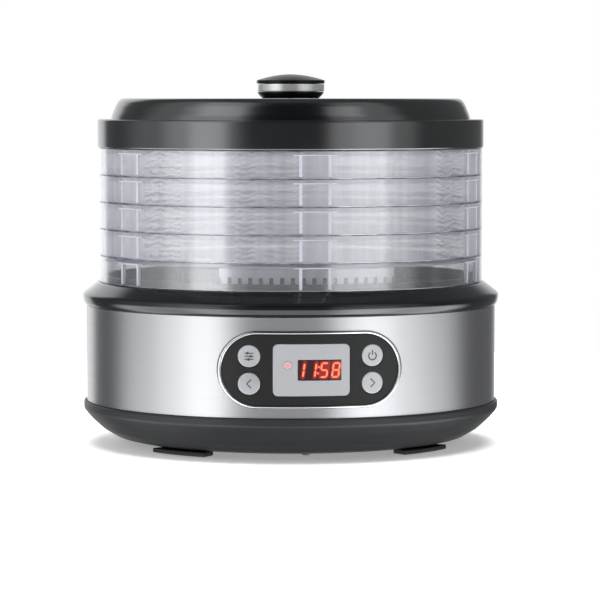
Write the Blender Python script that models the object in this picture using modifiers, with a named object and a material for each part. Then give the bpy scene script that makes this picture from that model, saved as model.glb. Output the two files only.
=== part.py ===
"""A round food dehydrator: a base with fan, heater and control panel, five stacked trays and a lid.

Metres, +Z up. The origin is on the trays' common axis, at the surface that the feet stand on, and
the control panel faces -Y. Every piece is its own object, and touching pieces keep a small gap.
"""

import math

import bmesh
import bpy
from mathutils import Matrix, Vector

OBJECT_NAME = "food_dehydrator"

# Driving dimensions
GAP = 0.0003
FACETS = 36
PANEL_FACETS = 96

FOOT_HEIGHT = 0.0037
FLOOR_Z = 0.004
FLOOR_TOP_Z = 0.007
LOWER_RING_TOP = 0.0351
LOWER_RING_RADIUS = 0.1725
BAND_RADIUS = 0.170
BAND_THICKNESS = 0.0012
UPPER_RING_BOTTOM = 0.115
UPPER_RING_RADIUS = 0.173
SEAT_Z = 0.1337
DECK_BOTTOM = 0.1255
DECK_TOP = 0.128
COLLAR_TOP = 0.1394

TRAY_COUNT = 5
TRAY_Z = SEAT_Z + GAP
TRAY_PITCH = 0.0221
TRAY_RADIUS = 0.1592
TRAY_BORE = 0.157
TRAY_FLOOR_BOTTOM = 0.0175
TRAY_FLOOR_TOP = 0.0195
LIP_OUTER = 0.1566
LIP_INNER = 0.1544
LIP_TOP = 0.0255

LID_Z = TRAY_Z + TRAY_COUNT * TRAY_PITCH
LID_TOP = 0.285
LID_RADIUS = 0.1602
LID_BORE = 0.1574
RIM_TOP = 0.2677
CAP_FOOT_RADIUS = 0.149
CAP_TOP_RADIUS = 0.1385

KNOB_RADIUS = 0.028
KNOB_BAND_Z = 0.2905
KNOB_CAP_Z = 0.2975
KNOB_TOP = 0.305

PANEL_Z = 0.0735
PANEL_FACE = 0.171
PANEL_BACK = 0.1683
TRIM_FACE = 0.172
BUTTON_FACE = 0.1716
BUTTON_BACK = 0.165
TRIM_WIDTH, TRIM_HEIGHT = 0.1454, 0.0599
PLATE_WIDTH, PLATE_HEIGHT = 0.1396, 0.0557
WINDOW_WIDTH, WINDOW_HEIGHT, WINDOW_CORNER = 0.0603, 0.0406, 0.004
DISPLAY_WIDTH, DISPLAY_HEIGHT, DISPLAY_X = 0.0342, 0.0162, 0.0063
INDICATOR_X, INDICATOR_Z, INDICATOR_RADIUS = -0.0188, PANEL_Z + 0.0039, 0.0034
BUTTON_X, BUTTON_RISE, BUTTON_RADIUS = 0.0485, 0.0108, 0.0086
BOARD_FACE_Y = -0.150

DUCT_RADIUS = 0.0685
DUCT_BORE = 0.066
DUCT_TOP = 0.112
VENT_RADIUS = 0.0955
VENT_TOP = 0.146

POST_CIRCLE = 0.125
FOOT_CIRCLE = 0.137
SHAFT_RADIUS = 0.0025
FAN_Z = 0.084
FAN_HEIGHT = 0.015
GLAND_Z = 0.052


def clear_scene():
    for obj in list(bpy.data.objects):
        bpy.data.objects.remove(obj)


def make_material(name, color, roughness, metallic=0.0, alpha=1.0):
    material = bpy.data.materials.new(name)
    material.use_nodes = True
    shader = material.node_tree.nodes["Principled BSDF"]
    shader.inputs["Base Color"].default_value = (*color, 1)
    shader.inputs["Roughness"].default_value = roughness
    shader.inputs["Metallic"].default_value = metallic
    shader.inputs["Alpha"].default_value = alpha
    return material


def make_materials():
    return {
        "gloss_black": make_material("gloss_black", (0.02, 0.022, 0.023), 0.18),
        "satin_black": make_material("satin_black", (0.03, 0.032, 0.034), 0.4),
        "inner_black": make_material("inner_black", (0.04, 0.04, 0.042), 0.6),
        "steel": make_material("steel", (0.62, 0.62, 0.63), 0.32, 1.0),
        "chrome": make_material("chrome", (0.8, 0.8, 0.82), 0.08, 1.0),
        "clear": make_material("clear", (0.9, 0.9, 0.96), 0.06, 0.0, 0.35),
        "window_grey": make_material("window_grey", (0.52, 0.53, 0.56), 0.35),
        "button_silver": make_material("button_silver", (0.55, 0.56, 0.57), 0.4),
        "display_red": make_material("display_red", (0.16, 0.02, 0.02), 0.15),
        "rubber": make_material("rubber", (0.03, 0.03, 0.03), 0.85),
        "board_green": make_material("board_green", (0.03, 0.2, 0.09), 0.5),
        "copper": make_material("copper", (0.7, 0.35, 0.2), 0.35, 1.0),
        "lamination": make_material("lamination", (0.3, 0.3, 0.31), 0.5, 1.0),
        "mica": make_material("mica", (0.55, 0.45, 0.3), 0.6),
    }


def profile_arc(center, radius, start_deg, end_deg, count):
    """Points of an arc in the profile plane, ends included."""
    turns = [math.radians(start_deg + (end_deg - start_deg) * i / count) for i in range(count + 1)]
    return [(center[0] + radius * math.cos(t), center[1] + radius * math.sin(t)) for t in turns]


def settle(obj):
    """Replaces the object's mesh with its evaluated one, so that no modifier is left."""
    graph = bpy.context.evaluated_depsgraph_get()
    mesh = bpy.data.meshes.new_from_object(obj.evaluated_get(graph), depsgraph=graph)
    obj.modifiers.clear()
    obj.data = mesh


def new_object(name, mesh):
    obj = bpy.data.objects.new(name, mesh)
    bpy.context.scene.collection.objects.link(obj)
    return obj


def turned(name, profile, facets=FACETS, closed=True):
    """A solid of revolution about Z. The (radius, z) profile runs down its outer side."""
    mesh = bpy.data.meshes.new(name)
    points = [(radius, 0, z) for radius, z in profile]
    edges = [(i, i + 1) for i in range(len(points) - 1)]
    if closed:
        edges.append((len(points) - 1, 0))
    mesh.from_pydata(points, edges, [])
    obj = new_object(name, mesh)
    screw = obj.modifiers.new("turn", "SCREW")
    screw.steps = facets
    screw.render_steps = facets
    screw.use_merge_vertices = True
    screw.merge_threshold = 0.00001
    settle(obj)
    return obj


def ring(name, inner, outer, low, high, facets=FACETS):
    return turned(name, [(outer, high), (outer, low), (inner, low), (inner, high)], facets)


def box(name, low, high):
    bpy.ops.mesh.primitive_cube_add(size=1)
    obj = bpy.context.object
    obj.name = name
    low, high = Vector(low), Vector(high)
    obj.data.transform(Matrix.Translation((low + high) / 2) @ Matrix.Diagonal((*(high - low), 1)))
    return obj


def cylinder(name, radius, low, high, x=0.0, y=0.0, sides=16):
    """A cylinder along Z. Its corners lie on the radius."""
    bpy.ops.mesh.primitive_cylinder_add(radius=radius, depth=high - low, vertices=sides)
    obj = bpy.context.object
    obj.name = name
    obj.data.transform(Matrix.Translation((x, y, (low + high) / 2)))
    return obj


def curve_to_mesh(obj):
    """Turns a curve object into a welded mesh object of the same name."""
    graph = bpy.context.evaluated_depsgraph_get()
    mesh = bpy.data.meshes.new_from_object(obj.evaluated_get(graph), depsgraph=graph)
    mesh.transform(obj.matrix_world)
    name = obj.name
    bpy.data.objects.remove(obj)
    work = bmesh.new()
    work.from_mesh(mesh)
    bmesh.ops.remove_doubles(work, verts=work.verts, dist=0.00001)
    bmesh.ops.recalc_face_normals(work, faces=work.faces)
    work.to_mesh(mesh)
    work.free()
    return new_object(name, mesh)


def prism(name, outline, low, high, along="Z"):
    """A flat outline given thickness from low to high along Z, X or Y.

    The outline's points are (x, y) along Z, (y, z) along X and (x, z) along Y.
    """
    curve = bpy.data.curves.new(name, "CURVE")
    curve.dimensions = "2D"
    curve.fill_mode = "BOTH"
    curve.extrude = (high - low) / 2
    spline = curve.splines.new("POLY")
    spline.points.add(len(outline) - 1)
    for point, (u, v) in zip(spline.points, outline):
        point.co = (u, v, 0, 1)
    spline.use_cyclic_u = True
    obj = new_object(name, curve)
    middle = (low + high) / 2
    if along == "Y":
        obj.matrix_world = Matrix.Translation((0, middle, 0)) @ Matrix.Rotation(math.pi / 2, 4, "X")
    elif along == "X":
        turn = Matrix(((0, 0, 1, 0), (1, 0, 0, 0), (0, 1, 0, 0), (0, 0, 0, 1)))
        obj.matrix_world = Matrix.Translation((middle, 0, 0)) @ turn
    else:
        obj.matrix_world = Matrix.Translation((0, 0, middle))
    bpy.context.view_layer.update()
    return curve_to_mesh(obj)


def tube(name, path, radius):
    """A round bar along a list of points, with closed ends."""
    curve = bpy.data.curves.new(name, "CURVE")
    curve.dimensions = "3D"
    curve.bevel_depth = radius
    curve.bevel_resolution = 2
    curve.use_fill_caps = True
    spline = curve.splines.new("POLY")
    spline.points.add(len(path) - 1)
    for point, place in zip(spline.points, path):
        point.co = (*place, 1)
    return curve_to_mesh(new_object(name, curve))


def joined(name, objects):
    """Several loose shells as one object, for cutting or uniting in one step."""
    work = bmesh.new()
    for obj in objects:
        work.from_mesh(obj.data)
        bpy.data.objects.remove(obj)
    mesh = bpy.data.meshes.new(name)
    work.to_mesh(mesh)
    work.free()
    return new_object(name, mesh)


def combine(obj, other, operation):
    """Applies a Boolean of the other object to this one and removes the other."""
    boolean = obj.modifiers.new("boolean", "BOOLEAN")
    boolean.operation = operation
    boolean.solver = "EXACT"
    boolean.object = other
    bpy.context.view_layer.update()
    settle(obj)
    bpy.data.objects.remove(other)
    return obj


def cut(obj, *cutters):
    return combine(obj, joined("cutters", cutters), "DIFFERENCE")


def unite(obj, *others):
    return combine(obj, joined("additions", others), "UNION")


def turn_about_z(obj, degrees):
    obj.data.transform(Matrix.Rotation(math.radians(degrees), 4, "Z"))
    return obj


def spread(make, count, start=0.0):
    """Copies made by make(index), turned evenly about Z."""
    return [turn_about_z(make(i), start + 360 * i / count) for i in range(count)]


def set_origin(obj, place):
    """Moves the object's origin and leaves its shape where it is."""
    obj.data.transform(Matrix.Translation(-Vector(place)))
    obj.location = place


def circle_outline(x, z, radius, count=20):
    turns = [2 * math.pi * (i + 0.5) / count for i in range(count)]
    return [(x + radius * math.cos(t), z + radius * math.sin(t)) for t in turns]


def rounded_outline(x, z, width, height, corner, count=4):
    """A rectangle with rounded corners; a corner of half the height makes a stadium."""
    outline = []
    for quarter, (sx, sz) in enumerate([(1, 1), (-1, 1), (-1, -1), (1, -1)]):
        center = (x + sx * (width / 2 - corner), z + sz * (height / 2 - corner))
        outline += profile_arc(center, corner, 90 * quarter, 90 * quarter + 90, count)
    return outline


def stadium(width, height, grow=0.0):
    half = height / 2 + grow
    return rounded_outline(0, PANEL_Z, width + 2 * grow, 2 * half, half * 0.9999, 6)


def through_panel(name, outline):
    """A cutter that runs through the front wall along Y."""
    return prism(name, outline, -0.2, -0.14, "Y")


def panel_piece(name, outline, back, face):
    """The part of a thin cylinder wall that lies inside the outline, seen from the front."""
    shell = ring(name, back, face, PANEL_Z - 0.04, PANEL_Z + 0.04, PANEL_FACETS)
    return combine(shell, through_panel("outline", outline), "INTERSECT")


def make_bottom_housing():
    lip = BAND_RADIUS - BAND_THICKNESS - GAP
    profile = [
        (lip, 0.042),
        (lip, LOWER_RING_TOP),
        (0.1716, LOWER_RING_TOP),
        (LOWER_RING_RADIUS, 0.0342),
        (LOWER_RING_RADIUS, 0.0292),
        (0.1716, 0.0275),
        (0.1668, 0.0218),
        (0.1570, 0.0128),
        (0.1460, 0.0062),
        (0.1370, FLOOR_Z),
        (0, FLOOR_Z),
        (0, FLOOR_TOP_Z),
        (0.1400, FLOOR_TOP_Z),
        (0.1540, 0.0146),
        (0.1659, 0.0262),
        (0.1659, 0.042),
    ]
    housing = turned("bottom_housing", profile)
    slots = spread(lambda i: box("slot", (0.022, -0.003, 0), (0.058, 0.003, 0.01)), 12, 15)
    holes = spread(lambda i: cylinder("hole", 0.0022, 0, 0.01, POST_CIRCLE), 4)
    return cut(housing, *slots, *holes)


def make_steel_band():
    low = LOWER_RING_TOP + GAP
    band = ring("steel_band", BAND_RADIUS - BAND_THICKNESS, BAND_RADIUS, low, UPPER_RING_BOTTOM - GAP, 72)
    opening = through_panel("opening", stadium(TRIM_WIDTH, TRIM_HEIGHT, GAP))
    gland_hole = prism("gland_hole", circle_outline(0, GLAND_Z, 0.0063, 16), 0.15, 0.18, "Y")
    return cut(band, opening, gland_hole)


def make_upper_housing():
    skirt = BAND_RADIUS - BAND_THICKNESS - GAP
    profile = [
        (LIP_OUTER, COLLAR_TOP),
        (LIP_OUTER, SEAT_Z),
        (TRAY_RADIUS + 0.001, SEAT_Z),
        (0.1714, 0.1253),
        (UPPER_RING_RADIUS, 0.1235),
        (UPPER_RING_RADIUS, 0.1170),
        (0.1720, UPPER_RING_BOTTOM),
        (skirt, UPPER_RING_BOTTOM),
        (skirt, 0.108),
        (0.1659, 0.108),
        (0.1659, 0.1243),
        (0.1576, 0.131),
        (LIP_OUTER, 0.131),
        (LIP_OUTER, DECK_BOTTOM),
        (0.080, DECK_BOTTOM),
        (0.080, DECK_TOP),
        (0.154, DECK_TOP),
        (0.154, COLLAR_TOP),
    ]
    housing = turned("upper_housing", profile)
    low = FLOOR_TOP_Z + GAP
    posts = spread(lambda i: cylinder("post", 0.005, low, DECK_TOP - 0.001, POST_CIRCLE, sides=12), 4)
    unite(housing, *posts)
    bores = spread(lambda i: cylinder("bore", 0.002, 0, 0.024, POST_CIRCLE, sides=8), 4)
    return cut(housing, *bores)


def make_vent_grille():
    wall = 0.0025
    profile = [
        (0, VENT_TOP),
        (VENT_RADIUS - 0.002, VENT_TOP),
        (VENT_RADIUS, VENT_TOP - 0.0015),
        (VENT_RADIUS, DECK_TOP + GAP),
        (VENT_RADIUS - wall, DECK_TOP + GAP),
        (VENT_RADIUS - wall, VENT_TOP - wall),
        (0, VENT_TOP - wall),
    ]
    grille = turned("vent_grille", profile)
    low, high = DECK_TOP + 0.0035, VENT_TOP - 0.0045
    slots = spread(lambda i: box("slot", (0.085, -0.006, low), (0.1, 0.006, high)), 18, 10)
    return cut(grille, *slots)


def make_feet(materials):
    names = ("foot_front_right", "foot_rear_right", "foot_rear_left", "foot_front_left")
    for i, name in enumerate(names):
        foot = ring(name, FOOT_CIRCLE - 0.007, FOOT_CIRCLE + 0.007, 0, FOOT_HEIGHT, 72)
        reach = 0.16
        half = math.radians(11)
        corners = [(0.05, 0)] + [(reach * math.cos(a), reach * math.sin(a)) for a in (-half, half)]
        sector = turn_about_z(prism("sector", corners, -0.001, 0.01), 90 * i - 45)
        add_part(combine(foot, sector, "INTERSECT"), materials["rubber"])


def make_base_screws(materials):
    for i, name in enumerate(("right", "rear", "left", "front")):
        profile = [
            (0, 0.024 - GAP),
            (0.0017, 0.023),
            (0.0017, FLOOR_Z - GAP),
            (0.0036, FLOOR_Z - GAP),
            (0.0036, 0.0024),
            (0.0022, 0.0016),
            (0, 0.0016),
        ]
        screw = turned("base_screw_" + name, profile, 8, closed=False)
        screw.data.transform(Matrix.Translation((POST_CIRCLE, 0, 0)))
        add_part(turn_about_z(screw, 90 * i), materials["steel"])


def make_air_path(materials):
    duct = ring("air_duct", DUCT_BORE, DUCT_RADIUS, FLOOR_TOP_Z + GAP, DUCT_TOP, 24)
    add_part(duct, materials["inner_black"])
    shield = ring("heat_shield", DUCT_BORE, 0.098, DUCT_TOP + GAP, DUCT_TOP + 0.0013, 24)
    add_part(shield, materials["steel"])

    arm, half = 0.065, 0.001
    cross = [(arm, -half), (arm, half), (half, half), (half, arm), (-half, arm), (-half, half)]
    cross += [(-x, -y) for x, y in cross]
    add_part(prism("heater_frame", cross, 0.103, 0.109), materials["mica"])

    tube_radius, ring_radius = 0.0032, 0.048
    height = 0.109 + GAP + tube_radius
    turns = [math.radians(18 + 324 * i / 18) for i in range(19)]
    path = [(ring_radius * math.cos(t), ring_radius * math.sin(t), height) for t in turns]
    start = (0.061, path[0][1], height)
    end = (0.061, path[-1][1], height)
    element = tube("heater_element", [start] + path + [end], tube_radius)
    add_part(turn_about_z(element, 45), materials["steel"])


def make_motor(materials):
    plate_low, plate_high = 0.040, 0.042
    foot_low = FLOOR_TOP_Z + GAP
    outline = [
        (-0.058, foot_low),
        (-0.058, 0.0093),
        (-0.047, 0.0093),
        (-0.047, plate_high),
        (0.047, plate_high),
        (0.047, 0.0093),
        (0.058, 0.0093),
        (0.058, foot_low),
        (0.045, foot_low),
        (0.045, plate_low),
        (-0.045, plate_low),
        (-0.045, foot_low),
    ]
    bracket = prism("motor_bracket", outline, -0.008, 0.008, "X")
    screw_y = 0.017
    holes = [cylinder("hole", 0.002, 0.03, 0.05, 0, side * screw_y, 10) for side in (-1, 1)]
    add_part(cut(bracket, cylinder("hole", 0.0055, 0.03, 0.05), *holes), materials["steel"])

    low, high = plate_high + GAP, 0.0583
    stator = box("motor_stator", (-0.025, -0.022, low), (0.051, 0.022, high))
    holes = [cylinder("hole", 0.002, 0.03, 0.07, 0, side * screw_y, 10) for side in (-1, 1)]
    bore = cylinder("bore", 0.011, 0.03, 0.07, sides=24)
    window = box("window", (0.018, -0.010, 0.03), (0.040, 0.010, 0.07))
    add_part(cut(stator, bore, window, *holes), materials["lamination"])

    coil = box("motor_coil", (0.030, -0.0095, 0.034), (0.061, 0.0095, 0.067))
    leg = box("leg", (0.040 - GAP, -0.02, low - GAP), (0.051 + GAP, 0.02, high + GAP))
    add_part(cut(coil, leg), materials["copper"])

    for name, side in (("front", -1), ("rear", 1)):
        profile = [
            (0, high + 0.0023),
            (0.0026, high + 0.0023),
            (0.0032, high + 0.0016),
            (0.0032, high + GAP),
            (0.0017, high + GAP),
            (0.0017, 0.037),
            (0, 0.037),
        ]
        screw = turned("motor_screw_" + name, profile, 8, closed=False)
        screw.data.transform(Matrix.Translation((0, side * screw_y, 0)))
        add_part(screw, materials["steel"])


def make_fan(materials):
    profile = [
        (0, FAN_Z + 0.0117),
        (SHAFT_RADIUS, FAN_Z + 0.0117),
        (SHAFT_RADIUS, 0.0578),
        (0.0105, 0.0578),
        (0.0105, 0.0435),
        (SHAFT_RADIUS, 0.0435),
        (SHAFT_RADIUS, 0.034),
        (0, 0.034),
    ]
    add_part(turned("rotor_shaft", profile, 16, closed=False), materials["lamination"])

    hub = cylinder("fan", 0.014, FAN_Z, FAN_Z + FAN_HEIGHT, sides=20)

    def blade(index):
        plate = box("blade", (0.011, -0.013, -0.001), (0.060, 0.013, 0.001))
        plate.data.transform(Matrix.Rotation(math.radians(28), 4, "X"))
        plate.data.transform(Matrix.Translation((0, 0, FAN_Z + FAN_HEIGHT / 2)))
        return plate

    unite(hub, *spread(blade, 5))
    bore = cylinder("bore", SHAFT_RADIUS + GAP, FAN_Z - 0.001, FAN_Z + 0.012)
    add_part(cut(hub, bore), materials["inner_black"])


def make_electronics(materials):
    board = box("control_board", (-0.060, BOARD_FACE_Y, 0.052), (0.060, BOARD_FACE_Y + 0.0016, 0.095))
    add_part(board, materials["board_green"])

    low, high = PANEL_Z - 0.0085, PANEL_Z + 0.0085
    front, back = -0.1665, BOARD_FACE_Y - GAP
    module = box("display_module", (DISPLAY_X - 0.0175, front, low), (DISPLAY_X + 0.0175, back, high))
    add_part(module, materials["inner_black"])

    for name, x, z in button_places():
        half = 0.003
        low, high = (x - half, -0.1553, z - half), (x + half, back, z + half)
        add_part(box(name + "_switch", low, high), materials["inner_black"])

    board = box("power_board", (0.089, -0.032, 0.020), (0.133, 0.032, 0.0216))
    relay = box("relay", (0.094, -0.028, 0.021), (0.112, -0.010, 0.036))
    transformer = box("transformer", (0.096, -0.002, 0.021), (0.126, 0.026, 0.043))
    add_part(turn_about_z(unite(board, relay, transformer), -135), materials["board_green"])

    low, high = (-DUCT_RADIUS - 0.009, -0.006, 0.088), (-DUCT_RADIUS - GAP, 0.006, 0.100)
    add_part(box("thermal_cutout", low, high), materials["steel"])
    sensor = cylinder("temperature_sensor", 0.0022, DUCT_TOP + 0.0016, 0.124, 0.073, 0, 12)
    add_part(sensor, materials["steel"])


def make_cord_gland(materials):
    flange = prism("cord_gland", circle_outline(0, GLAND_Z, 0.0086, 20), 0.1704, 0.1724, "Y")
    body = prism("body", circle_outline(0, GLAND_Z, 0.006, 20), 0.160, 0.171, "Y")
    bore = prism("bore", circle_outline(0, GLAND_Z, 0.0036, 20), 0.15, 0.18, "Y")
    add_part(cut(unite(flange, body), bore), materials["rubber"])


def button_places():
    """(name, x, z) of the four buttons."""
    return [
        ("button_program", -BUTTON_X, PANEL_Z + BUTTON_RISE),
        ("button_less", -BUTTON_X, PANEL_Z - BUTTON_RISE),
        ("button_power", BUTTON_X, PANEL_Z + BUTTON_RISE),
        ("button_more", BUTTON_X, PANEL_Z - BUTTON_RISE),
    ]


def window_outline(grow=0.0):
    corner = WINDOW_CORNER + grow
    return rounded_outline(0, PANEL_Z, WINDOW_WIDTH + 2 * grow, WINDOW_HEIGHT + 2 * grow, corner)


def display_outline(grow=0.0):
    width, height = DISPLAY_WIDTH + 2 * grow, DISPLAY_HEIGHT + 2 * grow
    return rounded_outline(DISPLAY_X, PANEL_Z, width, height, 0.0006 + grow, 2)


def indicator_outline(grow=0.0):
    return circle_outline(INDICATOR_X, INDICATOR_Z, INDICATOR_RADIUS + grow, 16)


def make_panel(materials):
    trim = panel_piece("panel_trim", stadium(TRIM_WIDTH, TRIM_HEIGHT), PANEL_BACK, TRIM_FACE)
    cut(trim, through_panel("inside", stadium(PLATE_WIDTH, PLATE_HEIGHT, GAP)))
    add_part(trim, materials["chrome"])

    plate = panel_piece("panel_plate", stadium(PLATE_WIDTH, PLATE_HEIGHT), PANEL_BACK, PANEL_FACE)
    holes = [circle_outline(x, z, BUTTON_RADIUS + GAP) for _, x, z in button_places()]
    holes.append(window_outline(GAP))
    cut(plate, *[through_panel("hole", outline) for outline in holes])
    add_part(plate, materials["gloss_black"])

    window = panel_piece("panel_window", window_outline(), PANEL_BACK, PANEL_FACE)
    holes = [display_outline(GAP), indicator_outline(GAP)]
    cut(window, *[through_panel("hole", outline) for outline in holes])
    add_part(window, materials["window_grey"])

    lens = panel_piece("display_lens", display_outline(), PANEL_BACK, PANEL_FACE - 0.0001)
    add_part(lens, materials["display_red"])
    lens = panel_piece("indicator_lens", indicator_outline(), PANEL_BACK, PANEL_FACE - 0.0001)
    add_part(lens, materials["window_grey"])

    for name, x, z in button_places():
        button = panel_piece(name, circle_outline(x, z, BUTTON_RADIUS), BUTTON_BACK, BUTTON_FACE)
        set_origin(button, (x, -BUTTON_FACE, z))
        add_part(button, materials["button_silver"])


def make_trays(materials):
    wall_top = TRAY_PITCH - GAP
    profile = [
        (0, TRAY_FLOOR_TOP),
        (LIP_INNER, TRAY_FLOOR_TOP),
        (LIP_INNER, LIP_TOP),
        (LIP_OUTER, LIP_TOP),
        (LIP_OUTER, wall_top),
        (TRAY_RADIUS, wall_top),
        (TRAY_RADIUS, 0),
        (TRAY_BORE, 0),
        (TRAY_BORE, TRAY_FLOOR_BOTTOM),
        (0, TRAY_FLOOR_BOTTOM),
    ]
    pattern = turned("pattern", profile, closed=False)
    slots = spread(lambda i: box("slot", (0.048, -0.0090, 0.01), (0.143, 0.0090, 0.03)), 12)
    cut(pattern, *slots)
    for number in range(TRAY_COUNT, 0, -1):
        tray = new_object(f"tray_{number}", pattern.data)
        tray.location.z = TRAY_Z + (TRAY_COUNT - number) * TRAY_PITCH
        add_part(tray, materials["clear"])
    bpy.data.objects.remove(pattern)


def make_lid(materials):
    bore = 0.0023
    corner = profile_arc((CAP_TOP_RADIUS, LID_TOP - 0.008), 0.008, 90, 10, 4)
    profile = [
        (bore, LID_TOP),
        *corner,
        (CAP_FOOT_RADIUS, RIM_TOP - 0.0015),
        (0.1516, RIM_TOP - 0.0015),
        (0.1516, RIM_TOP),
        (LID_RADIUS - 0.0008, RIM_TOP),
        (LID_RADIUS, RIM_TOP - 0.0008),
        (LID_RADIUS, LID_Z),
        (LID_BORE, LID_Z),
        (LID_BORE, 0.2636),
        (0.1464, 0.2636),
        (0.1440, 0.2780),
        (0.1385, 0.2824),
        (bore, 0.2824),
    ]
    lid = turned("lid", profile)
    slots = spread(lambda i: box("slot", (0.062, -0.0018, 0.27), (0.090, 0.0018, 0.29)), 8, 22.5)
    cut(lid, *slots)
    set_origin(lid, (0, 0, LID_Z))
    add_part(lid, materials["satin_black"])


def make_knob(materials):
    foot, spigot = LID_TOP + GAP, 0.020
    bore_top = 0.2943
    profile = [
        (0, KNOB_CAP_Z - 2 * GAP),
        (spigot, KNOB_CAP_Z - 2 * GAP),
        (spigot, KNOB_BAND_Z - GAP),
        (KNOB_RADIUS - 0.0004, KNOB_BAND_Z - GAP),
        (KNOB_RADIUS - 0.0006, KNOB_BAND_Z - 0.0012),
        (0.0235, foot),
        (0.0023, foot),
        (0.0023, bore_top),
        (0, bore_top),
    ]
    add_part(turned("knob_base", profile, 24, closed=False), materials["gloss_black"])

    band = ring("knob_ring", spigot + GAP, KNOB_RADIUS, KNOB_BAND_Z, KNOB_CAP_Z - GAP, 24)
    add_part(band, materials["chrome"])

    rise = KNOB_TOP - KNOB_CAP_Z - 0.0014
    rim = KNOB_RADIUS + 0.0003
    steps = 4
    radii = [rim * math.sin(0.5 * math.pi * i / steps) for i in range(steps + 1)]
    top = [(r, KNOB_TOP - rise * (r / rim) ** 2.4) for r in radii]
    profile = top + [(rim, KNOB_CAP_Z + 0.0004), (rim - 0.0006, KNOB_CAP_Z), (0, KNOB_CAP_Z)]
    add_part(turned("knob_cap", profile, 24, closed=False), materials["gloss_black"])

    profile = [
        (0, bore_top - GAP),
        (0.002, bore_top - GAP),
        (0.002, 0.2821),
        (0.004, 0.2821),
        (0.004, 0.2804),
        (0.003, 0.2796),
        (0, 0.2796),
    ]
    add_part(turned("knob_screw", profile, 10, closed=False), materials["steel"])


def add_part(obj, material):
    """Files a finished piece: its material, its collection and smooth shading of its round sides."""
    obj.data.materials.clear()
    obj.data.materials.append(material)
    obj.data.shade_smooth()
    obj.data.set_sharp_from_angle(angle=math.radians(35))
    for collection in list(obj.users_collection):
        collection.objects.unlink(obj)
    bpy.data.collections[OBJECT_NAME].objects.link(obj)


def main():
    clear_scene()
    bpy.context.scene.collection.children.link(bpy.data.collections.new(OBJECT_NAME))
    materials = make_materials()
    add_part(make_bottom_housing(), materials["satin_black"])
    add_part(make_steel_band(), materials["steel"])
    add_part(make_upper_housing(), materials["gloss_black"])
    add_part(make_vent_grille(), materials["inner_black"])
    make_feet(materials)
    make_base_screws(materials)
    make_air_path(materials)
    make_motor(materials)
    make_fan(materials)
    make_electronics(materials)
    make_cord_gland(materials)
    make_panel(materials)
    make_trays(materials)
    make_lid(materials)
    make_knob(materials)


main()
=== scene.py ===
"""Looks of a round food dehydrator with five clear trays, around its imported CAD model.

Lengths are in millimetres in the profiles and outlines, and in metres once they are meshes.
The front, with the control panel, faces -Y.
"""

import math

import bmesh
import bpy
from mathutils import Matrix, Vector


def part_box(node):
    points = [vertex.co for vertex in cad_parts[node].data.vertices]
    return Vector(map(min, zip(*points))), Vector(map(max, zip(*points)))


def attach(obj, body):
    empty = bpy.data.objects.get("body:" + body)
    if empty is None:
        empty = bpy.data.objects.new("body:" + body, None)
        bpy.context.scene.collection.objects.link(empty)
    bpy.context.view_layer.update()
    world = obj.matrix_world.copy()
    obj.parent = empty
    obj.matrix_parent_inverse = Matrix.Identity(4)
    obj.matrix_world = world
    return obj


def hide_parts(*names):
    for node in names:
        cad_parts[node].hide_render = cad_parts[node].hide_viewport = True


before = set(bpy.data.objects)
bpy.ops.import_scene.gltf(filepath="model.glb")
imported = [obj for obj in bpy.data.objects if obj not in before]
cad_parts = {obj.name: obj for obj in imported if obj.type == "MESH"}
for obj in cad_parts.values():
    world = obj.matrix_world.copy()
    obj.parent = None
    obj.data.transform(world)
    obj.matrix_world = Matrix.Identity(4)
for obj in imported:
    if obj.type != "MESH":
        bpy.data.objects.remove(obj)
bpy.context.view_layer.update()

MM = 0.001
STEPS = 256
EDGE_PARTS = 3
# A round end's radius is this much less than half its height, so that no two points coincide.
END_SLACK = 0.01
SMOOTH_ANGLE = math.radians(40)

# Radii at the control panel.
PANEL_BACK = 168.3
PANEL_FACE = 171.0
LENS_FACE = PANEL_FACE - 0.1
TRIM_FACE = 172.0
BUTTON_BACK = 165.0
BUTTON_FACE = 171.6

# Radius of the circle of the base screws and their posts.
POST_CIRCLE = 125

# Sizes on the control panel, as (width, height) or radii, and the gap between its pieces.
TRIM_SIZE = (145.4, 59.9)
PLATE_SIZE = (139.6, 55.7)
WINDOW_CORNER = 4.0
INDICATOR_RADIUS = 3.4
BUTTON_RADIUS = 8.6
GAP = 0.3


def middle_of(name, axis):
    """The middle of a CAD node's box along an axis, in millimetres."""
    low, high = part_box(name)
    return (low[axis] + high[axis]) / 2 / MM


def size_of(name):
    """The width and height of a CAD node's box, in millimetres."""
    low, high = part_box(name)
    return [size / MM for size in (high - low).xz]


PANEL_Z = middle_of("panel_plate", 2)
DISPLAY_X = middle_of("display_lens", 0)
INDICATOR_X = middle_of("indicator_lens", 0)
INDICATOR_Z = middle_of("indicator_lens", 2)

# Angles on the trays are in degrees from the front tab, TAB_TURN to the right of the front.
TRAYS = ["tray_5", "tray_4", "tray_3", "tray_2", "tray_1"]
TAB_TURN = 1.5
TAB_WIDTH = 8.3
FRONT_TABS = (0, -61.5, 61.5)
REAR_TABS = (-118.5, 118.5, 180)
# The wavy pads inside the walls: (angle, width, depth).
PADS = (
    (-47, 13.5, 1.0),
    (-20, 5.5, 0.7),
    (-9, 11, 0.35),
    (47, 13.5, 1.0),
    (133, 13.5, 1.0),
    (-133, 13.5, 1.0),
)

# How much haze a clear wall has more at its sides and on a tab, how much a pad has less,
# and how much of the light a wall reflects where it faces the eye.
SIDE_HAZE = 0.2
TAB_HAZE = 0.16
PAD_CLEARING = 0.5
HEAD_ON_GLOSS = 0.18


# ---------------------------------------------------------------- materials


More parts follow.
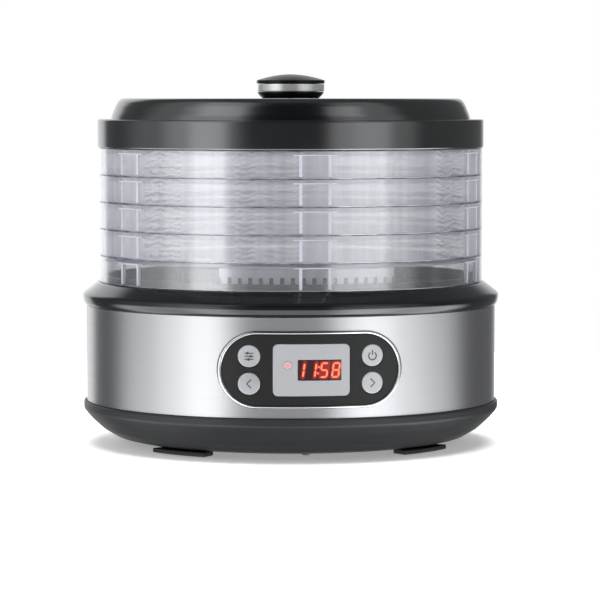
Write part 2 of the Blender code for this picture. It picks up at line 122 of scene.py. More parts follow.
def node(tree, kind, inputs=None, **settings):
    """Adds a node. Each input is a value or another node's output socket."""
    new = tree.nodes.new(kind)
    for key, value in settings.items():
        setattr(new, key, value)
    for key, value in (inputs or {}).items():
        if isinstance(value, bpy.types.NodeSocket):
            tree.links.new(value, new.inputs[key])
        else:
            new.inputs[key].default_value = value
    return new


def blank_material(name):
    """A new material, its node tree and its Principled shader."""
    material = bpy.data.materials.new(name)
    material.use_nodes = True
    tree = material.node_tree
    return material, tree, tree.nodes["Principled BSDF"]


def object_noise(tree, scale, stretch=(1, 1, 1), detail=2.0):
    """Noise in the object's own metres."""
    place = node(tree, "ShaderNodeTexCoord").outputs["Object"]
    mapped = node(tree, "ShaderNodeMapping", {"Vector": place, "Scale": stretch})
    inputs = {"Vector": mapped.outputs[0], "Scale": scale, "Detail": detail}
    return node(tree, "ShaderNodeTexNoise", inputs).outputs[0]


def remap(tree, value, low, high, start=0.3, end=0.7):
    """value stretched from start..end to low..high."""
    inputs = {"Value": value, "From Min": start, "From Max": end, "To Min": low, "To Max": high}
    return node(tree, "ShaderNodeMapRange", inputs).outputs[0]


def colour_output(mix):
    """A colour mix node has an output for each type. This is the one for colours."""
    return next(socket for socket in mix.outputs if socket.type == "RGBA")


def mixed_colour(tree, factor, first, second):
    """first where factor is 0, second where it is 1."""
    mix = node(tree, "ShaderNodeMix", data_type="RGBA")
    tree.links.new(factor, mix.inputs["Factor"])
    mix.inputs["A"].default_value = (*first, 1)
    mix.inputs["B"].default_value = (*second, 1)
    return colour_output(mix)


def math_node(tree, operation, *values):
    return node(tree, "ShaderNodeMath", dict(enumerate(values)), operation=operation).outputs[0]


def add_bump(tree, shader, height, distance, strength=1.0):
    inputs = {"Height": height, "Distance": distance, "Strength": strength}
    bump = node(tree, "ShaderNodeBump", inputs)
    tree.links.new(bump.outputs[0], shader.inputs["Normal"])


def moulded_plastic(
    name,
    colour,
    roughness,
    spread=0.05,
    grain=1500,
    depth=0.000008,
    level=0.5,
    uneven=0.25,
    ior=1.5,
):
    """Moulded plastic: a faint grain, slightly uneven gloss and colour."""
    material, tree, shader = blank_material(name)
    clouds = object_noise(tree, 22, detail=4)
    pale = tuple(c * (1 + uneven) + 0.001 for c in colour)
    gloss = remap(tree, clouds, roughness - spread, roughness + spread)
    tree.links.new(mixed_colour(tree, clouds, colour, pale), shader.inputs["Base Color"])
    tree.links.new(gloss, shader.inputs["Roughness"])
    shader.inputs["Specular IOR Level"].default_value = level
    shader.inputs["IOR"].default_value = ior
    add_bump(tree, shader, object_noise(tree, grain), depth)
    return material


def plain_metal(name, colour, roughness, scale=300, depth=0.00001, metallic=1.0):
    """Cast or plated metal with uneven gloss."""
    material, tree, shader = blank_material(name)
    clouds = object_noise(tree, 40, detail=5)
    dull = tuple(c * 0.8 for c in colour)
    gloss = remap(tree, clouds, roughness * 0.7, roughness * 1.4)
    tree.links.new(mixed_colour(tree, clouds, dull, colour), shader.inputs["Base Color"])
    tree.links.new(gloss, shader.inputs["Roughness"])
    shader.inputs["Metallic"].default_value = metallic
    add_bump(tree, shader, object_noise(tree, scale), depth)
    return material


def brushed_steel(name, colour, roughness, stretch, anisotropy, rotation, metallic):
    """Steel sheet with fine brush lines, which spread its reflections across them."""
    material, tree, shader = blank_material(name)
    lines = object_noise(tree, 1.0, stretch, detail=6)
    coarse = object_noise(tree, 1.0, tuple(s * 0.12 for s in stretch), detail=2)
    dark = tuple(c * 0.86 for c in colour)
    gloss = remap(tree, coarse, roughness - 0.015, roughness + 0.015)
    tree.links.new(mixed_colour(tree, lines, dark, colour), shader.inputs["Base Color"])
    tree.links.new(gloss, shader.inputs["Roughness"])
    shader.inputs["Metallic"].default_value = metallic
    shader.inputs["Anisotropic"].default_value = anisotropy
    shader.inputs["Anisotropic Rotation"].default_value = rotation
    tangent = node(tree, "ShaderNodeTangent", direction_type="RADIAL", axis="Z")
    tree.links.new(tangent.outputs[0], shader.inputs["Tangent"])
    add_bump(tree, shader, lines, 0.000006, 0.4)
    return material


def sectors(tree, around, places):
    """The depth of the place that the turn lies in, or 0. Places are (angle, width, depth)."""
    fade = 0.006
    total = 0.0
    for angle, width, depth in places:
        away = math_node(tree, "ABSOLUTE", math_node(tree, "SUBTRACT", around, math.radians(angle)))
        edge = math.radians(width / 2)
        total = math_node(tree, "ADD", remap(tree, away, depth, 0.0, edge, edge + fade), total)
    return total


def tab_pads(tree, place):
    """The tabs between the ribs, the pads beside them, and the wavy moulded texture on the pads."""
    rotation = (0, 0, math.radians(90 - TAB_TURN))
    square = node(tree, "ShaderNodeMapping", {"Vector": place, "Rotation": rotation})
    axes = node(tree, "ShaderNodeSeparateXYZ", {"Vector": square.outputs[0]}).outputs
    around = math_node(tree, "ARCTAN2", axes["Y"], axes["X"])
    tab = sectors(tree, around, [(angle, TAB_WIDTH, 1.0) for angle in FRONT_TABS])
    pad = sectors(tree, around, PADS)
    inputs = {
        "Vector": place,
        "Scale": 75.0,
        "Distortion": 9.0,
        "Detail": 2.0,
        "Detail Scale": 0.8,
    }
    waves = node(tree, "ShaderNodeTexWave", inputs, wave_type="BANDS", bands_direction="Z")
    return tab, pad, math_node(tree, "MULTIPLY", pad, waves.outputs["Fac"])


def mixed_shader(tree, factor, first, second):
    """first where factor is 0, second where it is 1."""
    inputs = {0: factor, 1: first.outputs[0], 2: second.outputs[0]}
    return node(tree, "ShaderNodeMixShader", inputs)


def clear_plastic(name, haze_low, haze_high, pads=0.0, seam_shade=0.0):
    """Clear moulded plastic: light passes straight through, less at its edges, with gloss and haze.

    pads is how much the wavy pads inside the wall show. The last argument is how dark the painted
    shade at the wall's foot and brow is, where stacked walls meet.
    """
    material, tree, shader = blank_material(name)
    tree.nodes.remove(shader)
    place = node(tree, "ShaderNodeTexCoord").outputs["Object"]
    height = node(tree, "ShaderNodeSeparateXYZ", {"Vector": place}).outputs["Z"]
    streaks = object_noise(tree, 90, (1, 1, 0.06), detail=5)
    aside = node(tree, "ShaderNodeLayerWeight", {"Blend": 0.5}).outputs["Facing"]
    grazing = math_node(tree, "POWER", aside, 5.0)

    haze = remap(tree, streaks, haze_low, haze_high)
    haze = math_node(tree, "MULTIPLY_ADD", math_node(tree, "POWER", aside, 3.0), SIDE_HAZE, haze)
    dull, bright = (0.77, 0.775, 0.83), (0.94, 0.95, 0.985)
    colour = mixed_colour(tree, remap(tree, streaks, 0.0, 1.0), dull, bright)
    if pads:
        tab, pad, texture = tab_pads(tree, place)
        haze = math_node(tree, "MULTIPLY_ADD", tab, TAB_HAZE, haze)
        haze = math_node(tree, "MULTIPLY_ADD", pad, -PAD_CLEARING * pads, haze)
        haze = math_node(tree, "MULTIPLY_ADD", texture, pads, haze)
    if seam_shade:
        # Painted shade: dashed dark lilac lines at the foot and the brow of the wall, where stacked
        # walls meet, by their heights in metres.
        foot = remap(tree, height, 1.0, 0.0, 0.0005, 0.0010)
        brow = remap(tree, height, 0.0, 1.0, 0.0209, 0.0215)
        dashes = remap(tree, streaks, 0.55, 1.0, 0.45, 0.55)
        seam_shade_mask = math_node(tree, "MULTIPLY", math_node(tree, "MAXIMUM", foot, brow), dashes)
        haze = math_node(tree, "MAXIMUM", haze, math_node(tree, "MULTIPLY", seam_shade_mask, seam_shade))
        # The wall's colour darkens to lilac along the painted shade lines.
        shaded_colour = node(tree, "ShaderNodeMix", {"Factor": seam_shade_mask}, data_type="RGBA")
        tree.links.new(colour, shaded_colour.inputs["A"])
        shaded_colour.inputs["B"].default_value = (0.16, 0.16, 0.27, 1)
        colour = colour_output(shaded_colour)
    diffuse = node(tree, "ShaderNodeBsdfDiffuse", {"Color": colour})
    lit_through = node(tree, "ShaderNodeBsdfTranslucent", {"Color": colour})
    milk = mixed_shader(tree, 0.5, diffuse, lit_through)
    through = node(tree, "ShaderNodeBsdfTransparent", {"Color": (0.962, 0.963, 0.974, 1)})
    body = mixed_shader(tree, haze, through, milk)
    gloss = node(tree, "ShaderNodeBsdfGlossy", {"Color": (0.96, 0.96, 0.97, 1), "Roughness": 0.08})
    sheen = math_node(tree, "MULTIPLY_ADD", grazing, 1 - HEAD_ON_GLOSS, HEAD_ON_GLOSS)
    surface = mixed_shader(tree, sheen, body, gloss)
    tree.links.new(surface.outputs[0], tree.nodes["Material Output"].inputs["Surface"])
    return material


def milky_plastic():
    """The trays' meshed floors and front tabs: translucent white with a lilac cast."""
    material, tree, shader = blank_material("milky_plastic")
    clouds = object_noise(tree, 60, detail=3)
    colour = mixed_colour(tree, clouds, (0.80, 0.80, 0.87), (0.90, 0.91, 0.95))
    tree.links.new(colour, shader.inputs["Base Color"])
    tree.links.new(remap(tree, clouds, 0.3, 0.42), shader.inputs["Roughness"])
    add_bump(tree, shader, object_noise(tree, 1600), 0.000006)
    lit_through = node(tree, "ShaderNodeBsdfTranslucent", {"Color": colour})
    surface = mixed_shader(tree, 0.5, shader, lit_through)
    tree.links.new(surface.outputs[0], tree.nodes["Material Output"].inputs["Surface"])
    return material


def glowing(name, dark, bright, strength):
    """A lit display segment or lamp, brighter in places."""
    material, tree, shader = blank_material(name)
    colour = mixed_colour(tree, object_noise(tree, 500), dark, bright)
    shader.inputs["Base Color"].default_value = (*dark, 1)
    shader.inputs["Roughness"].default_value = 0.4
    tree.links.new(colour, shader.inputs["Emission Color"])
    shader.inputs["Emission Strength"].default_value = strength
    return material


def circuit_board():
    """Green solder mask with a faint weave and darker tracks."""
    material, tree, shader = blank_material("board")
    weave = object_noise(tree, 1.0, (900, 120, 900), detail=1)
    colour = mixed_colour(tree, weave, (0.012, 0.075, 0.03), (0.02, 0.16, 0.06))
    tree.links.new(colour, shader.inputs["Base Color"])
    tree.links.new(remap(tree, weave, 0.28, 0.42), shader.inputs["Roughness"])
    add_bump(tree, shader, weave, 0.00002)
    return material


def laminations():
    """A stack of thin electrical steel sheets."""
    material, tree, shader = blank_material("lamination")
    layers = object_noise(tree, 1.0, (5, 5, 2200), detail=2)
    colour = mixed_colour(tree, layers, (0.12, 0.12, 0.13), (0.34, 0.34, 0.36))
    tree.links.new(colour, shader.inputs["Base Color"])
    shader.inputs["Metallic"].default_value = 1.0
    tree.links.new(remap(tree, layers, 0.35, 0.6), shader.inputs["Roughness"])
    add_bump(tree, shader, layers, 0.00008)
    return material


def windings():
    """Enamelled copper wire, wound in close turns."""
    material, tree, shader = blank_material("copper")
    turns = object_noise(tree, 1.0, (40, 2400, 40), detail=2)
    colour = mixed_colour(tree, turns, (0.25, 0.07, 0.03), (0.78, 0.32, 0.16))
    tree.links.new(colour, shader.inputs["Base Color"])
    shader.inputs["Metallic"].default_value = 1.0
    tree.links.new(remap(tree, turns, 0.25, 0.4), shader.inputs["Roughness"])
    add_bump(tree, shader, turns, 0.00015)
    return material


# Colour, roughness and what differs from moulded_plastic's usual settings.
PLASTICS = {
    "base_plastic": ((0.022, 0.0225, 0.0235), 0.42, {"level": 0.25}),
    "gloss_black": (
        (0.004, 0.0045, 0.005),
        0.10,
        {"spread": 0.02, "grain": 500, "depth": 0.000002},
    ),
    "knob_black": (
        (0.006, 0.006, 0.0065),
        0.30,
        {"spread": 0.03, "grain": 900, "depth": 0.000002, "level": 0.2},
    ),
    "fascia_black": (
        (0.0105, 0.0105, 0.011),
        0.5,
        {"spread": 0.03, "grain": 900, "depth": 0.000002, "level": 0.25},
    ),
    "lid_black": (
        (0.0018, 0.0024, 0.0028),
        0.16,
        {"spread": 0.03, "grain": 900, "depth": 0.000003, "level": 1.0, "ior": 1.65},
    ),
    "well_black": (
        (0.005, 0.005, 0.0055),
        0.6,
        {"spread": 0.06, "grain": 1500, "depth": 0.00001, "level": 0.12},
    ),
    "inner_black": ((0.012, 0.012, 0.013), 0.5, {}),
    "window_grey": (
        (0.405, 0.408, 0.425),
        0.30,
        {"spread": 0.01, "grain": 800, "depth": 0.000002, "uneven": 0.03},
    ),
    "display_red": (
        (0.034, 0.011, 0.010),
        0.12,
        {"spread": 0.02, "grain": 800, "depth": 0.000001},
    ),
    "rubber": (
        (0.006, 0.006, 0.006),
        0.65,
        {"spread": 0.06, "grain": 1200, "depth": 0.00002, "level": 0.3},
    ),
    "icon_grey": ((0.055, 0.058, 0.065), 0.45, {}),
    "mica": ((0.34, 0.27, 0.16), 0.45, {"spread": 0.08, "grain": 260, "depth": 0.00004}),
}
# The same for plain_metal.
METALS = {
    "button_silver": (
        (0.46, 0.465, 0.48),
        0.42,
        {"scale": 2500, "depth": 0.00002, "metallic": 0.35},
    ),
    "chrome": ((0.60, 0.61, 0.62), 0.2, {"scale": 60, "depth": 0.000001}),
    "zinc_steel": ((0.55, 0.56, 0.57), 0.3, {}),
    "dark_zinc": ((0.06, 0.06, 0.065), 0.4, {}),
}
# Colour, roughness, stretch of the brush lines, anisotropy, its rotation, metallic.
BRUSHED = {
    "brushed_steel": ((0.44, 0.44, 0.45), 0.34, (9, 9, 2600), 0.75, 0.25, 1.0),
    "belt_chrome": ((0.97, 0.975, 0.98), 0.33, (30, 30, 3000), 0.8, 0.25, 0.62),
}
# Darkest and brightest colour, and strength.
GLOWS = {
    "digit_halo": ((0.15, 0.004, 0.006), (0.24, 0.006, 0.008), 0.8),
    "digit_glow": ((0.40, 0.012, 0.008), (0.52, 0.02, 0.012), 1.0),
    "digit_core": ((1.0, 0.17, 0.06), (1.0, 0.28, 0.11), 0.95),
    "lamp_red": ((0.60, 0.28, 0.31), (0.66, 0.34, 0.37), 0.3),
}


def make_materials():
    materials = {
        # The clear walls get painted shade lines at their foot and brow; the last number sets how
        # dark.
        "clear_plastic": clear_plastic("clear_plastic", 0.40, 0.54, pads=0.32, seam_shade=1.0),
        "clearest_plastic": clear_plastic("clearest_plastic", 0.02, 0.09, seam_shade=0.9),
        "comb_plastic": clear_plastic("comb_plastic", 0.76, 0.92),
        "milky_plastic": milky_plastic(),
        "board": circuit_board(),
        "copper": windings(),
        "lamination": laminations(),
    }
    for name, (colour, roughness, extra) in PLASTICS.items():
        materials[name] = moulded_plastic(name, colour, roughness, **extra)
    for name, (colour, roughness, extra) in METALS.items():
        materials[name] = plain_metal(name, colour, roughness, **extra)
    for name, settings in BRUSHED.items():
        materials[name] = brushed_steel(name, *settings)
    for name, settings in GLOWS.items():
        materials[name] = glowing(name, *settings)
    return materials


MATERIALS = make_materials()


# ------------------------------------------------------------- mesh helpers


def rounded(profile, radius, parts=3):
    """The closed profile with its corners rounded, by less where a side is short.

    A point beside each corner keeps the smooth shading of the long sides flat.
    """
    smooth = []
    count = len(profile)
    for i, point in enumerate(profile):
        corner = Vector(point)
        before, after = Vector(profile[i - 1]), Vector(profile[(i + 1) % count])
        if corner.x < 1e-6:
            smooth.append(tuple(corner))
            continue
        shortest = min((before - corner).length, (after - corner).length)
        reach = min(radius, 0.4 * shortest)
        hold = reach + min(0.5, 0.08 * shortest)
        back, on = (before - corner).normalized(), (after - corner).normalized()
        smooth.append(tuple(corner + hold * back))
        for k in range(parts + 1):
            t = k / parts
            smooth.append(tuple(corner + reach * ((1 - t) ** 2 * back + t**2 * on)))
        smooth.append(tuple(corner + hold * on))
    return smooth


def mesh_object(name, vertices, faces):
    mesh = bpy.data.meshes.new(name)
    mesh.from_pydata([Vector(v) * MM for v in vertices], [], faces)
    mesh.update()
    obj = bpy.data.objects.new(name, mesh)
    bpy.context.scene.collection.objects.link(obj)
    return obj


def turned(name, profile, steps=STEPS):
    """A (radius, height) profile turned about the axis. It runs down its outer side."""
    vertices, rows = [], []
    for radius, height in profile:
        start = len(vertices)
        if radius < 1e-6:
            vertices.append((0, 0, height))
            rows.append([start] * steps)
            continue
        for i in range(steps):
            angle = 2 * math.pi * i / steps
            vertices.append((radius * math.cos(angle), radius * math.sin(angle), height))
        rows.append(list(range(start, start + steps)))
    faces = []
    for upper, lower in zip(rows, rows[1:] + rows[:1]):
        for i in range(steps):
            j = (i + 1) % steps
            corners = dict.fromkeys((upper[i], lower[i], lower[j], upper[j]))
            if len(corners) > 2:
                faces.append(list(corners))
    return mesh_object(name, vertices, faces)


def block(name, low, high):
    """A box between two corners."""
    xs, ys, zs = zip(low, high)
    vertices = [(x, y, z) for x in xs for y in ys for z in zs]
    faces = [(0, 1, 3, 2), (4, 6, 7, 5), (0, 4, 5, 1), (2, 3, 7, 6), (0, 2, 6, 4), (1, 5, 7, 3)]
    return mesh_object(name, vertices, faces)


def arc_block(name, radii, heights, middle, width, parts=6):
    """A box bent round the axis: width is its whole angle in degrees about middle."""
    vertices, faces = [], []
    for i in range(parts + 1):
        angle = math.radians(middle + width * (i / parts - 0.5))
        for radius, height in ((0, 0), (1, 0), (1, 1), (0, 1)):
            reach = radii[radius]
            vertices.append((reach * math.cos(angle), reach * math.sin(angle), heights[height]))
    for i in range(parts):
        for k in range(4):
            a, b = 4 * i + k, 4 * i + (k + 1) % 4
            faces.append((a, b, b + 4, a + 4))
    faces.append((3, 2, 1, 0))
    last = 4 * parts
    faces.append((last, last + 1, last + 2, last + 3))
    return mesh_object(name, vertices, faces)


def joined(name, objects):
    """One object from many, its parts left as they are."""
    first = objects[0]
    if len(objects) > 1:
        with bpy.context.temp_override(active_object=first, selected_editable_objects=objects):
            bpy.ops.object.join()
    first.name = name
    first.data.name = name
    return first


def apply_modifiers(obj):
    graph = bpy.context.evaluated_depsgraph_get()
    mesh = bpy.data.meshes.new_from_object(obj.evaluated_get(graph))
    obj.modifiers.clear()
    obj.data = mesh


def cut(obj, cutters):
    """Takes the cutters' shapes away from obj. The cutters are removed."""
    cutter = joined("cutter", cutters)
    boolean = obj.modifiers.new("cut", "BOOLEAN")
    boolean.operation = "DIFFERENCE"
    boolean.solver = "EXACT"
    boolean.object = cutter
    apply_modifiers(obj)
    bpy.data.objects.remove(cutter)


def turn(obj, degrees):
    obj.data.transform(Matrix.Rotation(math.radians(degrees), 4, "Z"))
    return obj


def tilt(obj, degrees):
    obj.data.transform(Matrix.Rotation(math.radians(degrees), 4, "X"))
    return obj


def shift(obj, *offset):
    """Moves the shape by an offset in metres."""
    obj.data.transform(Matrix.Translation(offset))
    return obj


def ring_of(make, count, first=0.0):
    """count objects from make, turned evenly about the axis from the angle first."""
    return [turn(make(), first + 360 / count * i) for i in range(count)]


def circle(x, y, radius, count=48):
    angles = [2 * math.pi * i / count for i in range(count)]
    return [(x + radius * math.cos(a), y + radius * math.sin(a)) for a in angles]


def rounded_box(x, y, width, height, radius, parts=8):
    """A rectangle's outline with round corners, about (x, y)."""
    outline = []
    for quarter, (side, rise) in enumerate(((1, 1), (-1, 1), (-1, -1), (1, -1))):
        middle_x = x + side * (width / 2 - radius)
        middle_y = y + rise * (height / 2 - radius)
        for k in range(parts + 1):
            angle = math.radians(90 * (quarter + k / parts))
            corner = (middle_x + radius * math.cos(angle), middle_y + radius * math.sin(angle))
            outline.append(corner)
    return outline


def stadium(width, height, grow=0.0):
    """The panel's outline: a rectangle with half circles for its ends, grown by grow."""
    radius = height / 2 + grow - END_SLACK
    return rounded_box(0, PANEL_Z, width + 2 * grow, height + 2 * grow, radius, 32)


def slab(name, outlines, depth, edge=0.0):
    """A flat plate of those outlines from z = 0 to depth.

    Later outlines are holes, and its edges are rounded by edge.
    """
    curve = bpy.data.curves.new(name, "CURVE")
    curve.dimensions = "2D"
    curve.fill_mode = "BOTH"
    curve.extrude = (depth / 2 - edge) * MM
    curve.bevel_depth = edge * MM
    curve.bevel_resolution = EDGE_PARTS
    curve.offset = -edge * MM
    for outline in outlines:
        spline = curve.splines.new("POLY")
        spline.points.add(len(outline) - 1)
        for point, (x, y) in zip(spline.points, outline):
            point.co = (x * MM, y * MM, 0, 1)
        spline.use_cyclic_u = True
    source = bpy.data.objects.new(name, curve)
    graph = bpy.context.evaluated_depsgraph_get()
    bpy.context.scene.collection.objects.link(source)
    mesh = bpy.data.meshes.new_from_object(source.evaluated_get(graph))
    bpy.data.objects.remove(source)
    obj = bpy.data.objects.new(name, mesh)
    bpy.context.scene.collection.objects.link(obj)
    weld = obj.modifiers.new("weld", "WELD")
    weld.merge_threshold = 1e-6
    apply_modifiers(obj)
    return shift(obj, 0, 0, depth / 2 * MM)


def panel_piece(name, outlines, back, face, edge=0.0, pitch=2.0):
    """A plate bent to the panel's cylinder, between the radii back and face.

    Outlines are in (x, height). The plate is cut into strips as wide as pitch, so that it bends.
    """
    obj = slab(name, outlines, face - back, edge)
    edit = bmesh.new()
    edit.from_mesh(obj.data)
    low = min(v.co.x for v in edit.verts)
    high = max(v.co.x for v in edit.verts)
    for i in range(math.ceil(low / (pitch * MM)), math.floor(high / (pitch * MM)) + 1):
        everything = edit.verts[:] + edit.edges[:] + edit.faces[:]
        plane = {"plane_co": (i * pitch * MM, 0, 0), "plane_no": (1, 0, 0)}
        bmesh.ops.bisect_plane(edit, geom=everything, dist=1e-7, **plane)
    for vertex in edit.verts:
        x, height, depth = vertex.co
        radius = back * MM + depth
        vertex.co = (x, -math.sqrt(radius**2 - x**2), height)
    edit.to_mesh(obj.data)
    edit.free()
    return obj


def add(obj, body, material, *replaced):
    """Files a finished piece: its material and shading, its body and the CAD nodes it replaces."""
    obj.data.materials.clear()
    obj.data.materials.append(MATERIALS[material])
    obj.data.shade_smooth()
    obj.data.set_sharp_from_angle(angle=SMOOTH_ANGLE)
    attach(obj, body)
    if replaced:
        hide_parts(*replaced)


# -------------------------------------------------------------------- base


def make_bottom_housing():
    """The bowl. Its underside is closed."""
    profile = [
        (168.5, 42.0),
        (168.5, 35.1),
        (171.6, 35.1),
        (172.5, 34.2),
        (172.5, 29.2),
        (171.6, 27.5),
        (166.8, 21.8),
        (157.0, 12.8),
        (146.0, 6.2),
        (137.0, 4.0),
        (0, 4.0),
        (0, 7.0),
        (140.0, 7.0),
        (154.0, 14.6),
        (165.9, 26.2),
        (165.9, 42.0),
    ]
    housing = turned("bowl", rounded(profile, 1.2))
    add(housing, "base", "base_plastic", "bottom_housing")


def make_feet():
    """Pads bent to the bowl, each 22 degrees long."""
    for i, name in enumerate(("front_right", "rear_right", "rear_left", "front_left")):
        middle = math.radians(-45 + 90 * i)
        outline = []
        for radius, direction in ((144.0, 1), (130.0, -1)):
            for k in range(-12, 13):
                angle = middle + direction * math.radians(11) * k / 12
                outline.append((radius * math.cos(angle), radius * math.sin(angle)))
        foot = slab("pad_" + name, [outline], 3.7, 0.7)
        add(foot, "base", "rubber", "foot_" + name)


def make_base_screws():
    """Pan heads with a cross recess, seen from below."""
    profile = [(0, 3.7), (3.6, 3.7), (3.6, 2.9), (3.2, 2.0), (2.4, 1.65), (0, 1.6)]
    for i, name in enumerate(("right", "rear", "left", "front")):
        head = turned("pan_head_" + name, rounded(profile, 0.25), 40)
        for x, y in ((1.9, 0.35), (0.35, 1.9)):
            cut(head, [block("arm", (-x, -y, 1.0), (x, y, 2.7))])
        shank = turned("shank", [(0, 14.0), (1.7, 14.0), (1.7, 3.6), (0, 3.6)], 24)
        screw = joined("pan_head_" + name, [head, shank])
        turn(shift(screw, POST_CIRCLE * MM, 0, 0), 90 * i)
        add(screw, "base", "dark_zinc", "base_screw_" + name)


def make_band():
    """The steel sleeve, cut out for the panel and the lead."""
    profile = [(170.0, 114.7), (170.0, 35.4), (168.8, 35.4), (168.8, 114.7)]
    sleeve = turned("steel_sleeve", rounded(profile, 0.3, 2))
    opening = panel_piece("opening", [stadium(*TRIM_SIZE, GAP)], 160.0, 180.0, pitch=4.0)
    gland = slab("gland", [circle(0, 52, 6.3)], 40)
    cut(sleeve, [opening])
    cut(sleeve, [shift(tilt(gland, 90), 0, 0.19, 0)])
    add(sleeve, "base", "brushed_steel", "steel_band")


def make_upper_housing():
    """The shoulder with the screw posts inside it, and the dark well that the trays stand over."""
    profile = [
        (156.6, 139.4),
        (156.6, 133.7),
        (160.2, 133.7),
        (171.4, 125.3),
        (173.0, 123.5),
        (173.0, 120.8),
        (172.3, 117.4),
        (171.0, 115.0),
        (168.5, 115.0),
        (168.5, 108.0),
        (165.9, 108.0),
        (165.9, 124.3),
        (157.6, 131.0),
        (156.6, 131.0),
        (156.6, 128.3),
        (154.0, 128.3),
        (154.0, 139.4),
    ]
    housing = turned("shoulder", rounded(profile, 1.6, 4))
    post = rounded([(0, 125.8), (5.0, 125.8), (5.0, 9.0), (0, 9.0)], 0.4)
    posts = ring_of(lambda: shift(turned("post", post, 32), POST_CIRCLE * MM, 0, 0), 4)
    add(joined("shoulder", [housing] + posts), "base", "gloss_black", "upper_housing")

    profile = [
        (153.9, 139.0),
        (153.9, 128.1),
        (156.5, 128.1),
        (156.5, 125.5),
        (80.0, 125.5),
        (80.0, 128.0),
        (153.1, 128.0),
        (153.1, 139.0),
    ]
    add(turned("well", rounded(profile, 0.4)), "base", "well_black")


def make_vent_grille():
    """The dome over the warm air outlet, its side cut into fine slots."""
    profile = [
        (92.0, 146.0),
        (95.5, 142.8),
        (95.5, 128.3),
        (93.0, 128.3),
        (93.0, 141.8),
        (91.0, 143.5),
        (0, 143.5),
        (0, 146.0),
    ]
    dome = turned("outlet_dome", rounded(profile, 0.8))
    cut(dome, ring_of(lambda: block("slot", (80, -2.6, 131.5), (110, 2.6, 141.5)), 54))
    add(dome, "base", "well_black", "vent_grille")


def make_gland():
    """The bush where the mains lead would leave."""
    profile = [
        (6.0, -10.4),
        (3.6, -10.4),
        (3.6, 2.0),
        (6.4, 2.0),
        (8.0, 2.0),
        (8.6, 1.2),
        (8.6, 0),
        (6.0, 0),
    ]
    bush = turned("lead_bush", rounded(profile, 0.3), 64)
    shift(tilt(bush, -90), 0, 0.1704, 0.052)
    add(bush, "base", "rubber", "cord_gland")


# ------------------------------------------------------------------- panel


# Each button's middle, from the panel's.
BUTTONS = {
    "button_program": (-48.5, 10.8),
    "button_less": (-48.5, -10.8),
    "button_power": (48.5, 10.8),
    "button_more": (48.5, -10.8),
}


def make_panel():
    outer, inner = stadium(*TRIM_SIZE), stadium(*PLATE_SIZE, GAP / 2)
    bezel = panel_piece("bezel", [outer, inner], PANEL_BACK, TRIM_FACE, 0.85)
    add(bezel, "base", "chrome", "panel_trim")

    width, height = size_of("panel_window")
    outlines = [stadium(*PLATE_SIZE)]
    outlines += [circle(x, PANEL_Z + z, BUTTON_RADIUS + GAP) for x, z in BUTTONS.values()]
    outlines.append(rounded_box(0, PANEL_Z, width + GAP, height + GAP, WINDOW_CORNER))
    plate = panel_piece("fascia", outlines, PANEL_BACK, PANEL_FACE, 0.35)
    add(plate, "base", "fascia_black", "panel_plate")

    outlines = [rounded_box(0, PANEL_Z, width, height, WINDOW_CORNER)]
    width, height = size_of("display_lens")
    outlines.append(rounded_box(DISPLAY_X, PANEL_Z, width + GAP / 2, height + GAP / 2, 0.6))
    outlines.append(circle(INDICATOR_X, INDICATOR_Z, INDICATOR_RADIUS + GAP / 2))
    window = panel_piece("window_frame", outlines, PANEL_BACK, PANEL_FACE, 0.15)
    add(window, "base", "window_grey", "panel_window")

    outline = rounded_box(DISPLAY_X, PANEL_Z, width, height, 0.5)
    lens = panel_piece("display_glass", [outline], PANEL_BACK, LENS_FACE, 0.1)
    add(lens, "base", "display_red", "display_lens")
    outline = circle(INDICATOR_X, INDICATOR_Z, INDICATOR_RADIUS)
    lens = panel_piece("indicator_glass", [outline], PANEL_BACK, LENS_FACE, 0.1)
    add(lens, "base", "window_grey", "indicator_lens")

    outlines = [circle(INDICATOR_X, INDICATOR_Z, radius) for radius in (2.9, 1.0)]
    ring = panel_piece("indicator_ring", outlines, LENS_FACE, PANEL_FACE - 0.05)
    add(ring, "base", "lamp_red")
    outline = circle(INDICATOR_X, INDICATOR_Z - 10.2, 0.7, 24)
    dot = panel_piece("indicator_dot", [outline], PANEL_FACE, PANEL_FACE + 0.05)
    add(dot, "base", "button_silver")


# A figure is one unit wide and two high to each side of its middle.
SEGMENTS = {
    "top": ((-1, 2), (1, 2)),
    "upper_right": ((1, 2), (1, 0)),
    "lower_right": ((1, 0), (1, -2)),
    "bottom": ((-1, -2), (1, -2)),
    "lower_left": ((-1, 0), (-1, -2)),
    "upper_left": ((-1, 2), (-1, 0)),
    "middle": ((-1, 0), (1, 0)),
}
DIGITS = {
    "1": ("upper_right", "lower_right"),
    "5": ("top", "upper_left", "middle", "lower_right", "bottom"),
    "8": tuple(SEGMENTS),
}


def bar(start, end, width):
    """A pointed bar's outline, a little short of start and end."""
    a, b = Vector(start), Vector(end)
    along = (b - a).normalized()
    across = Vector((-along.y, along.x)) * width / 2
    a, b = a + along * 0.25, b - along * 0.25
    tip = along * width / 2
    points = [a, a + tip + across, b - tip + across, b, b - tip - across, a + tip - across]
    return [tuple(p) for p in points]


def figure_outlines(figure, middle, width, half_width, quarter):
    """The outlines of a figure's lit segments."""
    outlines = []
    for segment in DIGITS[figure]:
        ends = [(half_width * x, quarter * y) for x, y in SEGMENTS[segment]]
        outlines.append([(x + middle, y + PANEL_Z) for x, y in bar(*ends, width)])
    return outlines


def halo_outline(figure, middle, width, half_width, quarter):
    """A round box about a figure's lit segments."""
    left = half_width if figure == "1" else -half_width
    size = (half_width - left + width, 4 * quarter + width)
    return rounded_box(middle + (left + half_width) / 2, PANEL_Z, *size, width / 2 - END_SLACK)


